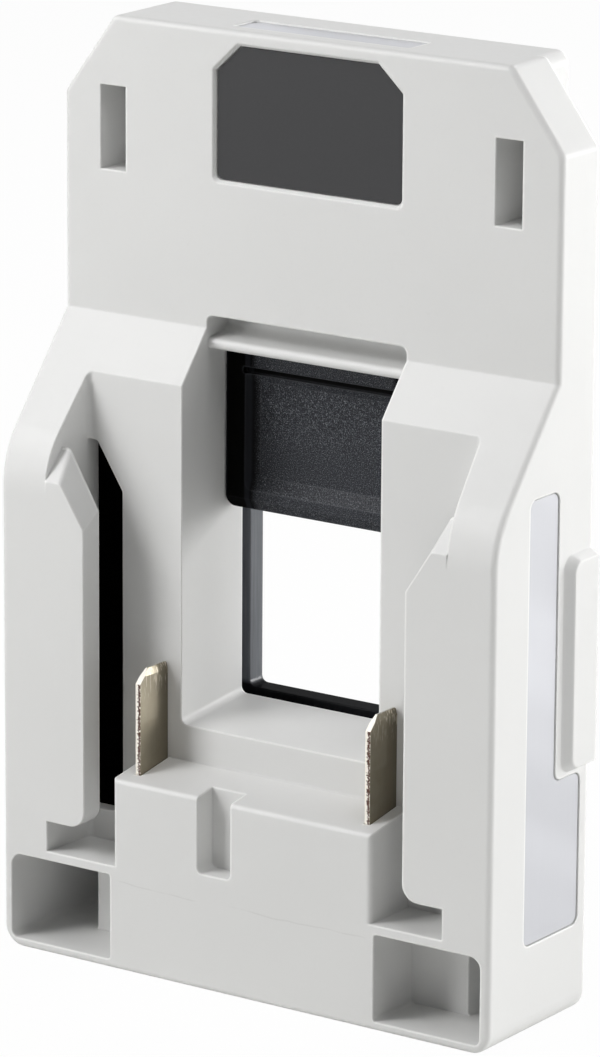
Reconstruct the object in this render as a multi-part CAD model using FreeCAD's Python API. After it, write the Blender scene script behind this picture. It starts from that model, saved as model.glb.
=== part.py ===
import FreeCAD, Part
import math
import os

# Battery adapter. Millimetres. X across (right is +X), Y from front to back, Z up.
# y = 0 is the front face of the rails, z = 0 the bottom, x = 0 the middle of the width.

# Outer form
width = 80.0
height = 129.0
half_w = width / 2
floor_y = 9.0
plate_y = 14.7
body_back_y = 23.2
rear_y = 29.2
plate_h = 41.0
shoulder_z = height - plate_h
shoulder_rise = 1.22
shoulder_bend_r = 13.0
top_chamfer_w = 8.2
top_chamfer_h = 11.0
bottom_corner_r = 3.0
top_corner_r = 1.3
edge_r = 0.8
rear_half_w = 31.8
rear_corner_r = 3.0
rear_top_left_r = 0.4
rear_top_right_r = 2.0
rear_edge_r = 0.8
hood_foot_z = height - top_chamfer_h
reach = 3 * height

# Walls
wall = 2.0
side_wall = 1.9
floor_wall = 2.2
channel_wall = 1.9
pocket_wall = 1.3

# Battery channel
channel_half_w = 32.5
channel_draft = 0.7
channel_floor_half_w = channel_half_w - channel_draft
channel_corner_r = 0.8
lip_half_gap = 26.15
lip_t = 3.65
lip_bottom_z = 19.1
lip_corner_r = 2.4
lip_top_drop = 20.8
lip_top_z = shoulder_z - lip_top_drop
lip_chamfer_h = 5.95
lip_chamfer_foot_z = lip_top_z - lip_chamfer_h
lip_chamfer_w = 3.9
lip_top_r = 0.8
lip_slant = 4.2
lip_foot_slant = 2.1
lip_top_shift = 0.85
opening_half_gap = 26.1
opening_chamfer_w = 4.3
opening_chamfer_h = 6.7
opening_corner_r = 1.0
opening_rise = 0.2
ledge_z = 14.8
ledge_t = 1.6

# Terminal block
block_half_w = 21.2
block_top_z = 27.2
block_top_rise = 1.45
block_top_wall = 2.1
block_side_wall = 1.2
block_edge_r = 0.7
notch_x0 = -7.1
notch_x1 = -1.6
notch_bottom_z = 16.5
notch_depth = 3.6
notch_wall = 1.4
notch_corner_r = 0.8

# Corner pockets
pocket_x0 = 21.7
pocket_x1 = 38.6
pocket_z0 = 1.3
pocket_z1 = 13.5
pocket_low_r = 1.0
pocket_high_r = 1.7
pocket_inner_r = 0.5
pocket_depth = 9.4
pocket_deep_x = 30.7
pocket_deep_y = 20.4
pocket_deep_wall = 1.1

# Window and catch pocket
window_half_w = 16.2
window_sill_z = 33.7
window_sill_back_z = 35.0
window_sill_wall = 1.9
window_corner_r = 1.0
window_wall = 1.8
window_wall_back_y = 25.1
catch_rise = 1.8
catch_top_z = shoulder_z + catch_rise
catch_back_y = 19.7
catch_wall = 1.8
catch_roof = 1.7
bar_crest_drop = 1.5
bar_crest_z = shoulder_z - bar_crest_drop
bar_crest_rise = 0.6
bar_root_r = 1.6
bar_t = 1.4
bar_under_z = bar_crest_z - bar_t
bar_nose_y = 14.9
bar_nose_r = 0.68

# Slots in the upper plate
slot_x0 = 29.7
slot_x1 = 33.9
slot_top_gap = 9.6
slot_h = 11.6
slot_z1 = height - slot_top_gap
slot_z0 = slot_z1 - slot_h
slot_depth = 7.3
slot_wall = 1.4
slot_back = 1.2

# Labels
front_label_top_gap = 2.2
front_label_h = 18.2
front_label_z1 = height - front_label_top_gap
front_label_z0 = front_label_z1 - front_label_h
front_label_half_w = 14.8
front_label_top_half_w = 11.0
front_label_chamfer_h = 3.5
front_label_chamfer_z = front_label_z1 - front_label_chamfer_h
front_label_r = 0.9
front_label_top_r = 0.4
label_recess = 0.85
label_rim = 0.4
top_label_recess = 0.6
label_t = 0.3
label_gap = 0.15
side_label_recess = 0.5
side_label_y0 = 8.4
side_label_y1 = 15.2
side_label_y2 = 21.4
side_label_z0 = 13.0
side_label_z1 = 34.0
side_label_drop = 14.4
side_label_z2 = shoulder_z - side_label_drop
side_label_r = 1.3
top_label_half_w = 14.0
top_label_y0 = 17.7
top_label_y1 = 22.8
top_label_r = 0.8
seat = 0.02

# Side pads
pad_h = 1.35
pad_y0 = 16.4
pad_z0 = 34.4
pad_drop = 23.2
pad_z1 = shoulder_z - pad_drop
pad_ramp = 1.1
pad_corner_r = 2.2
pad_tip_r = 1.6

# Rear cover
cover_gap = 0.1
cover_flange_t = 1.6
cover_wall = 1.8
cover_cavity_half_w = 27.6
cover_rim = 1.2
plug_inset = 2.4
groove_w = 2.2
groove_depth = 2.2
groove_y0 = 25.2
groove_top_drop = 31.0
groove_top_z = height - groove_top_drop

# Release latch
pivot_y = 24.8
pivot_rise = 2.0
pivot_z = shoulder_z + pivot_rise
pin_r = 1.5
pin_clear = 0.05
pin_chamfer = 0.3
pin_half_l = 19.6
barrel_r = 2.6
latch_side_gap = 0.3
latch_half_w = window_half_w - latch_side_gap
latch_drop = 3.7
latch_h = 21.9
latch_top_z = shoulder_z - latch_drop
latch_bottom_z = latch_top_z - latch_h
latch_front_top_y = 19.0
latch_front_bottom_y = 18.85
latch_t = 3.4
latch_corner_r = 1.0
latch_foot_bevel_y = 0.8
latch_foot_bevel_z = 1.5
flap_margin = 2.7
flap_bevel = 2.1
flap_recess = 1.3
flap_foot = 2.4
flap_head = 2.0
flap_z0 = latch_bottom_z + flap_foot
flap_z1 = latch_top_z - flap_head
flap_groove_h = 0.9
shank_t = 2.0
shank_gap = 0.4
shank_inset = 0.2
spring_gap_half = 3.6
spring_room = 0.6
arm_half_w = 6.0
arm_y0 = 23.15
arm_y1 = 26.6
hook_drop = 23.8
hook_h = 4.0
hook_z1 = height - hook_drop
hook_z0 = hook_z1 - hook_h
hook_tip_y = 31.6
hook_flat = 1.6
hook_root_r = 0.5
hook_tip_r = 0.3
arm_top_r = 0.6
latch_travel_deg = 12.0
stop_margin_deg = 0.7

# Latch spring
wire_r = 0.35
spring_mean_r = 2.1
spring_pitch = 0.85
spring_turns = 5
spring_leg_up = 10.5
spring_leg_ahead = 7.2

# Inner frame
frame_behind = 0.1
frame_y0 = floor_y + floor_wall + frame_behind
frame_t = 1.4
frame_half_w = 36.2
frame_corner_r = 1.5
frame_z0 = 17.6
frame_drop = 10.5
frame_z1 = shoulder_z - frame_drop
frame_bar_z0 = 29.3
frame_gap = 0.15
web_t = 1.7
web_step = 5.5
collar_back_y = 28.1
collar_step_y = 27.3
collar_bottom_z = 35.3
collar_t = 1.5
collar_corner_r = 1.4
collar_hole_r = 1.0
lug_rise = 4.5
lug_top_z = pivot_z + lug_rise
lug_foot = 7.5
lug_neck = 1.9
lug_r = 2.0

# Battery blades
blade_t = 0.8
blade_x = 18.8
blade_y0 = 2.55
blade_y1 = 8.85
blade_top_z = 42.3
blade_chamfer_y = 2.0
blade_chamfer_z = 1.9
blade_coin = 0.25
blade_root_depth = 8.0
blade_root_z = block_top_z - blade_root_depth
blade_foot_z = 12.0
blade_foot_step = 1.6
blade_slot_clear = 0.12
blade_tail_z0 = 6.0
blade_tail_z1 = 12.0

# Terminal carrier
carrier_half_w = 19.9
carrier_z0 = 12.6
carrier_z1 = 21.0
carrier_y0 = 4.9
carrier_y1 = 11.3
carrier_wall = 0.8
carrier_hollow_half_w = 5.5

# Circuit board
board_half_w = 26.5
board_y0 = 15.4
board_t = 1.6
board_z0 = 3.2
board_z1 = 20.6
board_boss_x = 9.0
board_boss_z = 7.2
board_boss_r = 2.4

# Appliance contacts
contact_x = 13.0
contact_drop = 8.0
contact_h = 10.8
contact_z1 = height - contact_drop
contact_z0 = contact_z1 - contact_h
contact_sheet = 0.6
contact_gap = 0.7
contact_entry_half_w = 1.1
contact_slit = 0.5
holder_half_w = 18.8
holder_drop = 6.4
holder_h = 14.0
holder_z1 = height - holder_drop
holder_z0 = holder_z1 - holder_h
holder_y0 = plate_y + wall + seat
holder_y1 = rear_y - cover_wall - seat
holder_wall = 1.6
holder_hollow_half_w = 9.0

# Leads
lead_r = 1.2
lead_start_x = 22.0
lead_x = 29.2
lead_y = 18.6
lead_z0 = 8.0
lead_end_drop = 6.7
lead_end_z = contact_z0 - lead_end_drop
lead_end_x = 14.2
lead_bend_r = 3.2
tab_t = 0.6
crimp_t = 0.45
crimp_l = 4.0

# Screws
screw_r = 1.25
screw_head_r = 2.3
screw_head_h = 1.5
screw_rim_r = 0.6
screw_tip = 0.5
screw_cross_l = 1.2
screw_cross_w = 0.28
screw_cross_depth = 0.8
screw_sink = 0.5
boss_r = 2.9
pilot_r = 1.27
cover_screw_l = 10.6
cover_screw_x = 24.6
cover_screw_low_z = 24.5
cover_screw_mid_drop = 8.5
cover_screw_top_drop = 12.0
cover_screw_z = (cover_screw_low_z, shoulder_z - cover_screw_mid_drop, height - cover_screw_top_drop)
cover_pilot_y0 = 16.3
frame_screw_x = 22.4
frame_screw_low_z = 37.0
frame_screw_drop = 18.0
frame_screw_z = (frame_screw_low_z, shoulder_z - frame_screw_drop)
frame_boss_y = 16.0
frame_screw_l = 5.5
board_screw_l = 6.0


def box(x0, x1, y0, y1, z0, z1):
    return Part.makeBox(x1 - x0, y1 - y0, z1 - z0, FreeCAD.Vector(x0, y0, z0))


def cyl_y(x, z, r, y0, y1):
    return Part.makeCylinder(r, y1 - y0, FreeCAD.Vector(x, y0, z), FreeCAD.Vector(0, 1, 0))


def cyl_x(y, z, r, x0, x1):
    return Part.makeCylinder(r, x1 - x0, FreeCAD.Vector(x0, y, z), FreeCAD.Vector(1, 0, 0))


def corner(points, radii, i):
    """Tangent points and middle of the arc at corner i of a closed outline."""
    px, py = points[i - 1]
    cx, cy = points[i]
    nx, ny = points[(i + 1) % len(points)]
    r = radii.get(i, 0.0)
    if r <= 0:
        return None
    ax, ay = px - cx, py - cy
    bx, by = nx - cx, ny - cy
    la = math.hypot(ax, ay)
    lb = math.hypot(bx, by)
    ax, ay, bx, by = ax / la, ay / la, bx / lb, by / lb
    half = math.acos(max(-1.0, min(1.0, ax * bx + ay * by))) / 2
    t = r / math.tan(half)
    mx, my = ax + bx, ay + by
    lm = math.hypot(mx, my)
    d = r / math.sin(half) - r
    return (cx + ax * t, cy + ay * t), (cx + mx / lm * d, cy + my / lm * d), (cx + bx * t, cy + by * t)


def outline(points, radii, place):
    """Closed wire through the points, with an arc at each corner that has a radius."""
    edges = []
    n = len(points)
    arcs = [corner(points, radii, i) for i in range(n)]
    for i in range(n):
        j = (i + 1) % n
        a = arcs[i][2] if arcs[i] else points[i]
        b = arcs[j][0] if arcs[j] else points[j]
        if math.hypot(a[0] - b[0], a[1] - b[1]) > 1e-6:
            edges.append(Part.LineSegment(place(*a), place(*b)).toShape())
        if arcs[j]:
            edges.append(Part.Arc(place(*arcs[j][0]), place(*arcs[j][1]), place(*arcs[j][2])).toShape())
    return Part.Wire(edges)


def prism_y(points, radii, y0, y1):
    """Outline given as (x, z), from y0 to y1."""
    wire = outline(points, radii, lambda x, z: FreeCAD.Vector(x, y0, z))
    return Part.Face(wire).extrude(FreeCAD.Vector(0, y1 - y0, 0))


def prism_x(points, radii, x0, x1):
    """Outline given as (y, z), from x0 to x1."""
    wire = outline(points, radii, lambda y, z: FreeCAD.Vector(x0, y, z))
    return Part.Face(wire).extrude(FreeCAD.Vector(x1 - x0, 0, 0))


def prism_z(points, radii, z0, z1):
    """Outline given as (x, y), from z0 to z1."""
    wire = outline(points, radii, lambda x, y: FreeCAD.Vector(x, y, z0))
    return Part.Face(wire).extrude(FreeCAD.Vector(0, 0, z1 - z0))


def mirrored(shape):
    return shape.mirror(FreeCAD.Vector(0, 0, 0), FreeCAD.Vector(1, 0, 0))


def both(shape):
    return [shape, mirrored(shape)]


def tube(points, r, bend):
    """Round wire along straight runs, with an arc of the bend radius at each inner point."""
    edges = []
    start = points[0]
    for i in range(1, len(points) - 1):
        c = points[i]
        a = points[i - 1].sub(c)
        b = points[i + 1].sub(c)
        a.normalize()
        b.normalize()
        half = math.acos(max(-1.0, min(1.0, a.dot(b)))) / 2
        t = bend / math.tan(half)
        m = a.add(b)
        m.normalize()
        p = c.add(a * t)
        q = c.add(b * t)
        mid = c.add(m * (bend / math.sin(half) - bend))
        edges.append(Part.LineSegment(start, p).toShape())
        edges.append(Part.Arc(p, mid, q).toShape())
        start = q
    edges.append(Part.LineSegment(start, points[-1]).toShape())
    spine = Part.Wire(edges)
    d = points[1].sub(points[0])
    d.normalize()
    ring = Part.Wire([Part.makeCircle(r, points[0], d)])
    return spine.makePipeShell([ring], True, False)


def side_profile(inset):
    """Foot and top of the shoulder's slope as y, z pairs, for the outside or for a wall's inside."""
    back = inset / math.sin(math.atan(shoulder_rise))
    y_foot = inset
    y_plate = plate_y + inset
    z_foot = shoulder_z - (plate_y + back - y_foot) * shoulder_rise
    z_top = shoulder_z - (plate_y + back - y_plate) * shoulder_rise
    return y_foot, z_foot, y_plate, z_top


def front_line(inset, bottom, top, back):
    y_foot, z_foot, y_plate, z_top = side_profile(inset)
    pts = [(y_foot, bottom), (y_foot, z_foot), (y_plate, z_top), (y_plate, top), (back, top), (back, bottom)]
    radii = {1: max(shoulder_bend_r - inset, 2.0)}
    return pts, radii


def front_outline(inset):
    h = half_w - inset
    c = inset * 0.5
    return [(-h, inset), (h, inset), (h, height - top_chamfer_h - c * 0.2),
            (half_w - top_chamfer_w - c, height - inset), (-(half_w - top_chamfer_w - c), height - inset),
            (-h, height - top_chamfer_h - c * 0.2)]


def outer_body():
    pts, radii = front_line(0.0, 0.0, height, body_back_y)
    body = prism_x(pts, radii, -half_w - 1, half_w + 1)
    shape = front_outline(0.0)
    rr = {0: bottom_corner_r, 1: bottom_corner_r, 2: top_corner_r, 3: top_corner_r, 4: top_corner_r, 5: top_corner_r}
    return body.common(prism_y(shape, rr, -1, body_back_y + 1))


def rounded_front_edges(body):
    """Soft edges all round the front faces, and along the rear edge of the sides."""
    picked = []
    for e in body.Edges:
        b = e.BoundBox
        on_side = b.XMin > half_w - 0.01 or b.XMax < -half_w + 0.01
        on_front = b.YMax < 0.01
        on_plate = abs(b.YMin - plate_y) < 0.01 and abs(b.YMax - plate_y) < 0.01
        whole_width = b.XMax - b.XMin > 30
        if on_side and b.YMax < plate_y + 0.01:
            picked.append(e)
        elif on_front and not (whole_width and b.ZMin > 30):
            picked.append(e)
        elif on_plate and b.ZMin > shoulder_z + 1:
            picked.append(e)
    return body.makeFillet(edge_r, picked)


def lip():
    """Lip on a rail, whose chamfered top rises from its front to its back."""
    wires = []
    radii = {1: lip_corner_r, 3: lip_top_r}
    x0, x1 = lip_half_gap, channel_half_w + seat
    for y, k in ((0.0, 0.0), (lip_t, 1.0)):
        top = lip_top_z + lip_slant * k
        pts = [(x1, lip_bottom_z), (x0, lip_bottom_z), (x0, lip_chamfer_foot_z + lip_foot_slant * k),
               (x0 + lip_chamfer_w + lip_top_shift * k, top), (x1, top)]
        wires.append(outline(pts, radii, lambda x, z, y=y: FreeCAD.Vector(x, y, z)))
    return Part.makeLoft(wires, True, True)


def channel():
    """Room for the pack, whose side walls draw in toward the floor."""
    w0, w1 = channel_half_w, channel_floor_half_w
    over = w0 + channel_draft * wall / floor_y
    r = channel_corner_r
    room = prism_z([(-over, -wall), (over, -wall), (w1, floor_y), (-w1, floor_y)], {2: r, 3: r}, ledge_z, reach)
    return room.cut(block_tool(0.0, 0.0))


def lip_opening():
    """Opening in the channel floor behind a lip."""
    x0, x1 = opening_half_gap, channel_floor_half_w
    z1 = lip_top_z + lip_slant + opening_rise
    r = opening_corner_r
    pts = [(x1, lip_bottom_z), (x0, lip_bottom_z), (x0, z1 - opening_chamfer_h), (x0 + opening_chamfer_w, z1), (x1, z1)]
    return prism_y(pts, {1: lip_corner_r, 2: r, 3: r}, floor_y - 0.5, floor_y + floor_wall + 0.5)


def pocket():
    room = []
    for x0, depth in ((pocket_x0, pocket_depth), (pocket_deep_x, pocket_deep_y)):
        radii = {0: pocket_inner_r, 1: pocket_low_r, 2: pocket_high_r, 3: pocket_inner_r}
        pts = [(x0, pocket_z0), (pocket_x1, pocket_z0), (pocket_x1, pocket_z1), (x0, pocket_z1)]
        room.append(prism_y(pts, radii, -1, depth))
    return room[0].fuse(room[1])


def block_tool(grow, z0):
    """Terminal block, a prism with a sloping top, grown or shrunk on its sides."""
    slope = block_top_rise / floor_y
    y1 = floor_y + wall
    return prism_x([(-1, z0), (-1, block_top_z - slope), (y1, block_top_z + slope * y1), (y1, z0)], {},
                   -block_half_w - grow, block_half_w + grow)


def window_tool():
    sill = (window_sill_back_z - window_sill_z) / (window_wall_back_y - floor_y)
    z_front = window_sill_z - sill * (floor_y + 2)
    tool = prism_x([(-2, z_front), (window_wall_back_y + 1, window_sill_back_z + sill),
                    (window_wall_back_y + 1, bar_under_z), (bar_nose_y, bar_under_z),
                    (bar_nose_y, bar_crest_z), (catch_back_y, bar_crest_z + bar_crest_rise),
                    (catch_back_y, catch_top_z), (-2, catch_top_z)],
                   {3: bar_nose_r, 4: bar_nose_r, 5: bar_root_r}, -window_half_w, window_half_w)
    corners = []
    for e in tool.Edges:
        b = e.BoundBox
        long_way = b.YMax - b.YMin > 15
        if long_way and b.XMax - b.XMin < 0.01:
            corners.append(e)
    return tool.makeFillet(window_corner_r, corners)


def side_label_outline(grow):
    y0, y1, y2 = side_label_y0 - grow, side_label_y1 + grow, side_label_y2 + grow
    z0, z1, z2 = side_label_z0 - grow, side_label_z1 + grow, side_label_z2 + grow
    pts = [(y0, z0), (y2, z0), (y2, z1), (y1, z1), (y1, z2), (y0, z2)]
    r = side_label_r
    return pts, {0: r, 1: r, 2: r, 3: r, 4: r, 5: r}


def front_label_outline(grow):
    w, t = front_label_half_w + grow, front_label_top_half_w + grow * 0.6
    z0, z1, zc = front_label_z0 - grow, front_label_z1 + grow, front_label_chamfer_z + grow * 0.5
    pts = [(-w, z0), (w, z0), (w, zc), (t, z1), (-t, z1), (-w, zc)]
    t = front_label_top_r
    return pts, {0: front_label_r, 1: front_label_r, 2: t, 3: t, 4: t, 5: t}


def top_label_outline(grow):
    w, y0, y1 = top_label_half_w + grow, top_label_y0 - grow, top_label_y1 + grow
    return [(-w, y0), (w, y0), (w, y1), (-w, y1)], {0: top_label_r, 1: top_label_r, 2: top_label_r, 3: top_label_r}


def side_pad():
    """Raised pad on the side face, with a ramp round its front, top and bottom."""
    x0 = half_w - 0.5
    base = outline([(pad_y0, pad_z0), (body_back_y, pad_z0), (body_back_y, pad_z1), (pad_y0, pad_z1)],
                   {0: pad_corner_r, 3: pad_corner_r}, lambda y, z: FreeCAD.Vector(x0, y, z))
    k = pad_ramp
    tip = outline([(pad_y0 + k, pad_z0 + k), (body_back_y, pad_z0 + k), (body_back_y, pad_z1 - k), (pad_y0 + k, pad_z1 - k)],
                  {0: pad_tip_r, 3: pad_tip_r}, lambda y, z: FreeCAD.Vector(half_w + pad_h, y, z))
    return Part.makeLoft([base, tip], True, True)


def cavity():
    """Room inside the housing, open at the back."""
    pts, radii = front_line(wall, wall, height - wall, body_back_y + 5)
    room = prism_x(pts, radii, -half_w, half_w)
    inner = front_outline(side_wall)
    room = room.common(prism_y(inner, {}, -1, body_back_y + 5))
    keep = []
    # channel walls and floor
    w = channel_half_w + channel_wall
    zone = box(-w, w, -1, floor_y + floor_wall, ledge_z - ledge_t, reach)
    keep.append(zone.cut(block_room()))
    # pocket boxes
    for shape in both(box(pocket_x0 - pocket_wall, half_w, -1, pocket_depth + pocket_wall, -1, ledge_z)):
        keep.append(shape)
    for shape in both(box(pocket_deep_x - pocket_wall, half_w, -1, pocket_deep_y + pocket_deep_wall, -1, ledge_z)):
        keep.append(shape)
    # window walls
    w = window_half_w + window_wall
    keep.append(box(-w, w, -1, window_wall_back_y, window_sill_z - window_sill_wall, bar_under_z))
    keep.append(box(-w, w, -1, catch_back_y + catch_wall, bar_under_z - seat, catch_top_z + catch_roof))
    # slot boxes
    t = slot_wall
    for shape in both(box(slot_x0 - t, slot_x1 + t, -1, plate_y + slot_depth + slot_back, slot_z0 - t, slot_z1 + t)):
        keep.append(shape)
    # screw bosses
    for x in (-cover_screw_x, cover_screw_x):
        for z in cover_screw_z:
            keep.append(cyl_y(x, z, boss_r, -1, body_back_y - cover_flange_t - cover_gap))
    for x in (-frame_screw_x, frame_screw_x):
        for z in frame_screw_z:
            keep.append(cyl_y(x, z, boss_r, -1, frame_boss_y))
    for x in (-board_boss_x, board_boss_x):
        keep.append(cyl_y(x, board_boss_z, board_boss_r, -1, board_y0))
    # stop rib that the hook arm meets at the end of its travel
    w = arm_half_w + wall
    keep.append(box(-w, w, -1, stop_y(), hook_z0 + 1.0, hook_z1 - 1.0))
    for shape in keep:
        room = room.cut(shape)
    return room


def stop_y():
    """Front line of the hook arm when the latch is fully pressed, less a running gap."""
    a = math.radians(latch_travel_deg + stop_margin_deg)
    return pivot_y + (arm_y0 - pivot_y) * math.cos(a) - (hook_z1 - 1.0 - pivot_z) * math.sin(a)


def block_room():
    """Room inside the terminal block."""
    t = block_side_wall
    slope = block_top_rise / floor_y
    z = block_top_z - block_top_wall
    y1 = floor_y + floor_wall + 1
    return prism_x([(wall, wall), (wall, z + slope * wall), (y1, z + slope * floor_y), (y1, wall)], {},
                   -block_half_w + t, block_half_w - t)


def hood():
    """Top of the rear layer: a roof with two short sides that the housing's own top runs on into."""
    w, t = rear_half_w, wall
    z0 = hood_foot_z
    outer = prism_y([(-w, z0), (w, z0), (w, height), (-w, height)], {2: rear_top_right_r, 3: rear_top_left_r}, body_back_y, rear_y)
    rear_edges = []
    for e in outer.Edges:
        b = e.BoundBox
        if b.YMin > rear_y - 0.01 and b.ZMax > z0 + 0.01:
            rear_edges.append(e)
    outer = outer.makeFillet(rear_edge_r, rear_edges)
    inner = box(-w + t, w - t, body_back_y - 1, rear_y + 1, z0 - 1, height - t)
    return outer.cut(inner)


def soft_block(body):
    """Rounded front edges of the terminal block."""
    picked = []
    for e in body.Edges:
        b = e.BoundBox
        on_front = b.YMax < 0.01 and b.ZMin > ledge_z - 0.01 and b.ZMax < block_top_z + 0.5
        on_side = b.XMax - b.XMin < 0.01 and abs(abs(b.XMin) - block_half_w) < 0.01
        on_top = b.ZMin > ledge_z + 1
        if on_front and (on_side or on_top):
            picked.append(e)
    return body.makeFillet(block_edge_r, picked)


def front_housing():
    body = rounded_front_edges(outer_body())
    body = soft_block(body.cut(channel()))
    for shape in both(lip()):
        body = body.fuse(shape)
    for shape in both(side_pad()):
        body = body.fuse(shape)
    body = body.cut(cavity()).fuse(hood())
    for shape in both(lip_opening()):
        body = body.cut(shape)
    for shape in both(pocket()):
        body = body.cut(shape)
    for shape in both(box(slot_x0, slot_x1, plate_y - 1, plate_y + slot_depth, slot_z0, slot_z1)):
        body = body.cut(shape)
    body = body.cut(window_tool())
    z_over = block_top_z + 5
    notch = prism_y([(notch_x0, notch_bottom_z), (notch_x1, notch_bottom_z), (notch_x1, z_over), (notch_x0, z_over)],
                    {0: notch_corner_r, 1: notch_corner_r}, -1, notch_depth)
    t = notch_wall
    z_under = block_top_z - block_edge_r
    notch_box = box(notch_x0 - t, notch_x1 + t, block_edge_r, notch_depth + t, notch_bottom_z - t, z_under)
    body = body.fuse(notch_box).cut(notch)
    # slots that the blades stand in
    c = blade_slot_clear
    h = blade_t / 2 + c
    for x in (-blade_x, blade_x):
        body = body.cut(box(x - h, x + h, blade_y0 - c, blade_y1 + c, blade_root_z - c, z_over))
    # label seats
    pts, rr = front_label_outline(label_gap)
    body = body.cut(prism_y(pts, rr, plate_y - 1, plate_y + label_recess))
    rings = []
    for y, grow in ((plate_y - label_rim, 2 * label_rim), (plate_y + label_rim, 0.0)):
        pts, rr = front_label_outline(label_gap + grow)
        rings.append(outline(pts, rr, lambda x, z, y=y: FreeCAD.Vector(x, y, z)))
    body = body.cut(Part.makeLoft(rings, True, True))
    pts, rr = side_label_outline(label_gap)
    body = body.cut(prism_x(pts, rr, half_w - side_label_recess, half_w + 5))
    pts, rr = top_label_outline(label_gap)
    body = body.cut(prism_z(pts, rr, height - top_label_recess, height + 1))
    # pilot holes
    for x in (-cover_screw_x, cover_screw_x):
        for z in cover_screw_z:
            body = body.cut(cyl_y(x, z, pilot_r, cover_pilot_y0, body_back_y))
    for x in (-frame_screw_x, frame_screw_x):
        for z in frame_screw_z:
            body = body.cut(cyl_y(x, z, pilot_r, floor_y + 0.9, frame_boss_y + 0.5))
    for x in (-board_boss_x, board_boss_x):
        body = body.cut(cyl_y(x, board_boss_z, pilot_r, board_y0 - board_screw_l - 1, board_y0 + 0.5))
    return body.removeSplitter()


def rear_cover():
    flange = front_outline(side_wall + cover_gap)
    y_flange = body_back_y - cover_flange_t
    cover = prism_y(flange, {}, y_flange, body_back_y)
    g = cover_gap
    w, wi = rear_half_w, rear_half_w - wall - g
    zf, zt = hood_foot_z - g, height - wall - g
    raised = prism_y([(-w, 0), (w, 0), (w, zf), (wi, zf), (wi, zt), (-wi, zt), (-wi, zf), (-w, zf)],
                     {0: rear_corner_r, 1: rear_corner_r}, body_back_y + seat, rear_y)
    rear_edges = []
    for e in raised.Edges:
        b = e.BoundBox
        if b.YMin > rear_y - 0.01 and b.ZMin < zf - 1:
            rear_edges.append(e)
    raised = raised.makeFillet(rear_edge_r, [e for e in rear_edges if abs(e.BoundBox.Center.x) > wi + 1 or e.BoundBox.ZMax < 1])
    wp = rear_half_w - plug_inset
    plug = box(-wp, wp, y_flange, body_back_y + 1, wall + 3 * g, zt)
    cover = cover.fuse(plug).fuse(raised)
    # relief round the boxes of the two slots
    t = slot_wall + g
    for shape in both(box(slot_x0 - t, slot_x1 + t, y_flange - 1, body_back_y + g, slot_z0 - t, slot_z1 + t)):
        cover = cover.cut(shape)
    # the flange stays clear of the housing's top wall
    cover = cover.cut(box(-half_w, half_w, y_flange - 1, body_back_y + seat, zt, height))
    inside_y = rear_y - cover_wall
    wc = cover_cavity_half_w
    cover = cover.cut(box(-wc, wc, y_flange - 1, inside_y, wall + cover_rim, zt - cover_rim))
    # posts over the screw bosses
    for x in (-cover_screw_x, cover_screw_x):
        for z in cover_screw_z:
            cover = cover.fuse(cyl_y(x, z, boss_r + 0.6, y_flange, rear_y - screw_sink))
            cover = cover.cut(cyl_y(x, z, screw_r + 0.15, y_flange - 1, rear_y + 1))
            cover = cover.cut(cyl_y(x, z, screw_head_r + 0.2, rear_y - screw_head_h - screw_sink, rear_y + 1))
    # window for the collar of the inner frame
    w = window_half_w + collar_t + g
    z0, z1 = collar_bottom_z - collar_t - g, latch_top_z + 0.5
    opening = prism_y([(-w, z0), (w, z0), (w, z1), (-w, z1)], {0: collar_corner_r + g, 1: collar_corner_r + g}, y_flange - 1, rear_y + 1)
    cover = cover.cut(opening)
    # opening for the hook
    w = arm_half_w + 0.5
    cover = cover.cut(box(-w, w, inside_y - 1, rear_y + 1, hook_z0 - 1.2, hook_z1 + 2.2))
    # entries for the appliance's blades
    h = contact_entry_half_w
    for x in (-contact_x, contact_x):
        cover = cover.cut(box(x - h, x + h, inside_y - 1, rear_y + 1, contact_z0 - 0.4, contact_z1 + 0.4))
    # grooves that the appliance's rails slide into
    for shape in both(box(rear_half_w - groove_depth, rear_half_w + 1, groove_y0, groove_y0 + groove_w, -1, groove_top_z)):
        cover = cover.cut(shape)
    return cover.removeSplitter()


def frame_plate():
    """Plate behind the channel floor, which closes the openings beside the lips."""
    g = frame_gap
    r = frame_corner_r
    w = frame_half_w
    plate = prism_y([(-w, frame_z0), (w, frame_z0), (w, frame_z1), (-w, frame_z1)], {0: r, 1: r, 2: r, 3: r},
                    frame_y0, frame_y0 + frame_t)
    for x in (-frame_screw_x, frame_screw_x):
        for z in frame_screw_z:
            plate = plate.fuse(cyl_y(x, z, boss_r + frame_t, frame_y0, frame_boss_y + frame_t))
    w = window_half_w + window_wall + g
    plate = plate.cut(box(-w, w, 0, reach, window_sill_z - window_sill_wall - g, reach))
    # clear of the terminal block and its board
    w = block_half_w - 0.5
    plate = plate.cut(box(-w, w, 0, reach, 0, frame_bar_z0 - g))
    for x in (-cover_screw_x, cover_screw_x):
        for z in cover_screw_z[:2]:
            plate = plate.cut(cyl_y(x, z, boss_r + 0.2, 0, reach))
    return plate


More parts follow.
